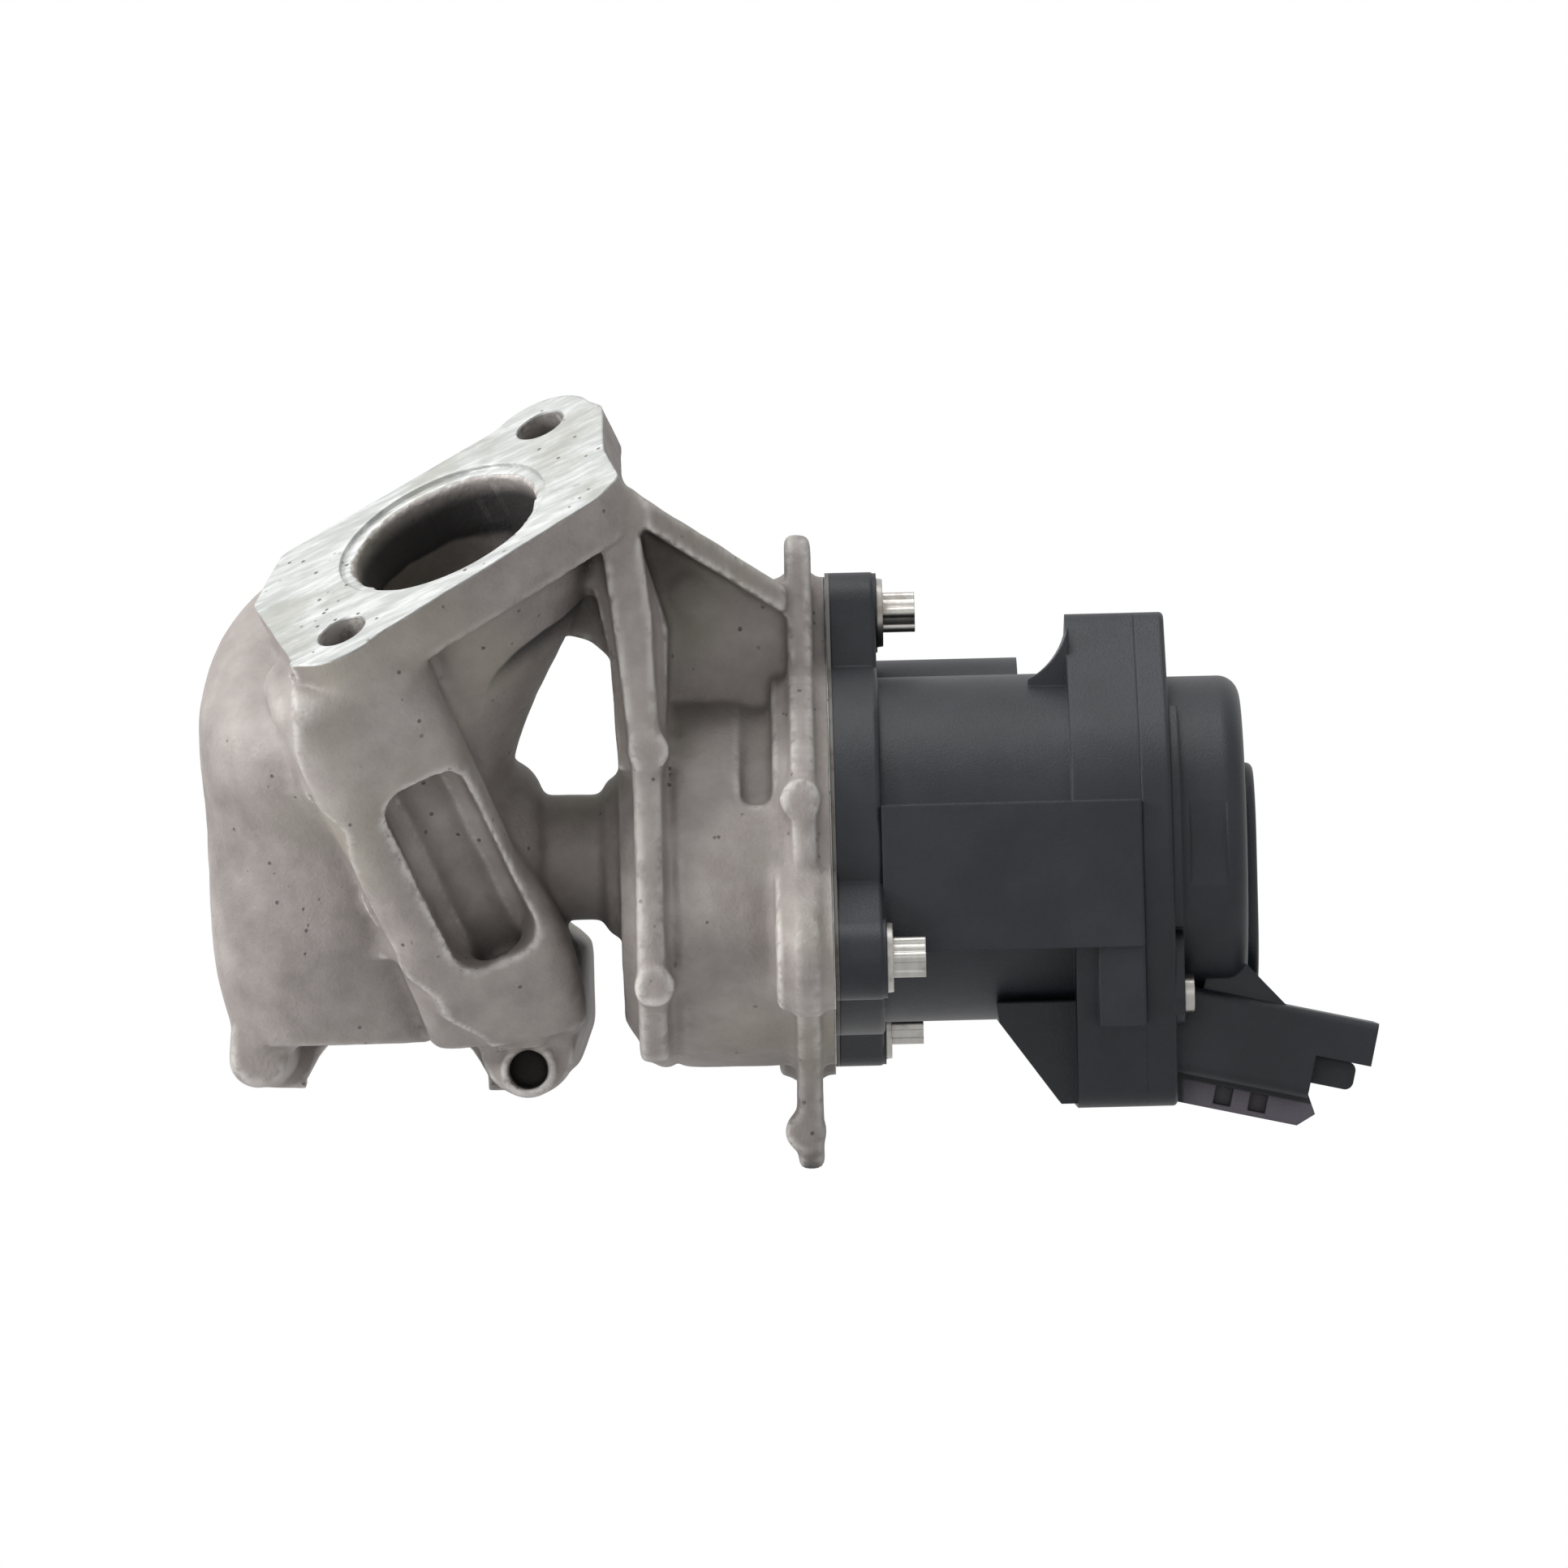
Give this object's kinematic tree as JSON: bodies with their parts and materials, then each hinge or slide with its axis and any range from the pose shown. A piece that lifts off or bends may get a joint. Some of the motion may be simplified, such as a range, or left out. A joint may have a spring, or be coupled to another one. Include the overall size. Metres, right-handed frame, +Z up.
{
  "type": "egr valve",
  "caption": "Electric exhaust gas recirculation valve: cast gas body with tilted inlet flange, rear outlet face, spring-closed poppet and black geared motor actuator with a side connector",
  "frame": {"origin": "centre of the gas outlet on the rear mounting face", "axes": "+X along the valve stem towards the actuator, +Y out of the rear mounting face, +Z up"},
  "size_m": [0.1927, 0.0928, 0.1288],
  "materials": {
    "cast_aluminium": "as-cast with machined faces",
    "black_plastic": "moulded, fine texture",
    "cover_plastic": "moulded, fine texture",
    "screw_steel": "zinc plated",
    "valve_steel": "turned",
    "spring_steel": "drawn wire",
    "bearing_steel": "ground",
    "spindle_brass": "turned",
    "seal_rubber": "moulded",
    "gasket_steel": "embossed sheet",
    "gear_plastic": "moulded, natural",
    "guide_plastic": "moulded",
    "motor_steel": "plated",
    "magnet": "sintered",
    "board": "board laminate"
  },
  "bodies": {
    "housing": {"valve_housing": "cast_aluminium", "valve_seat": "valve_steel", "guide_bush": "valve_steel", "stem_seal": "seal_rubber", "spring_seat": "valve_steel", "flange_gasket": "gasket_steel", "actuator_housing": "black_plastic", "screw_sleeves": "screw_steel", "actuator_screws": "screw_steel", "stem_guide": "guide_plastic", "motor_can": "motor_steel", "motor_end_cap": "guide_plastic", "motor_washer": "motor_steel", "motor_brushes": "magnet", "field_magnets": "magnet", "idler_pin": "bearing_steel", "bearing_outer_race": "bearing_steel", "bearing_retainer": "bearing_steel", "cover_seal": "seal_rubber", "gear_cover": "cover_plastic", "journal_bush": "spindle_brass", "cover_screws": "screw_steel", "sensor_board": "board", "connector_terminals": "spindle_brass", "return_spring": "spring_steel"},
    "valve": {"poppet_disc": "valve_steel", "valve_stem": "valve_steel", "spring_plate": "valve_steel", "stem_clip": "valve_steel", "screw_spindle": "spindle_brass"},
    "output": {"output_gear": "gear_plastic", "sensor_magnet": "magnet", "bearing_inner_race": "bearing_steel", "bearing_balls": "bearing_steel"},
    "idler": {"idler_gear": "gear_plastic"},
    "rotor": {"motor_shaft": "bearing_steel", "armature": "motor_steel", "commutator": "spindle_brass", "motor_pinion": "spindle_brass"}
  },
  "joints": [
    {"name": "valve_slide", "type": "slide", "parent": "housing", "child": "valve", "axis": [-1, 0, 0], "range_m": [0, 0.0055], "stiffness_N_per_m": 1500, "springref_m": -0.004, "deforming": ["return_spring"]},
    {"name": "output_spin", "type": "hinge", "parent": "housing", "child": "output", "pos_m": [0, -0.042, 0], "axis": [1, 0, 0], "range_deg": [-5, 335]},
    {"name": "idler_spin", "type": "hinge", "parent": "housing", "child": "idler", "pos_m": [0, -0.01605, 0.00165], "axis": [1, 0, 0], "range_deg": [-1120, 20]},
    {"name": "rotor_spin", "type": "hinge", "parent": "housing", "child": "rotor", "pos_m": [0, -0.022, 0.0165], "axis": [1, 0, 0], "range_deg": [-50, 3350]}
  ],
  "couplings": [
    {"joint": "output_spin", "follows": "valve_slide", "rad_per_m": 1047.2},
    {"joint": "idler_spin", "follows": "valve_slide", "rad_per_m": -3490.7},
    {"joint": "rotor_spin", "follows": "valve_slide", "rad_per_m": 10472}
  ]
}
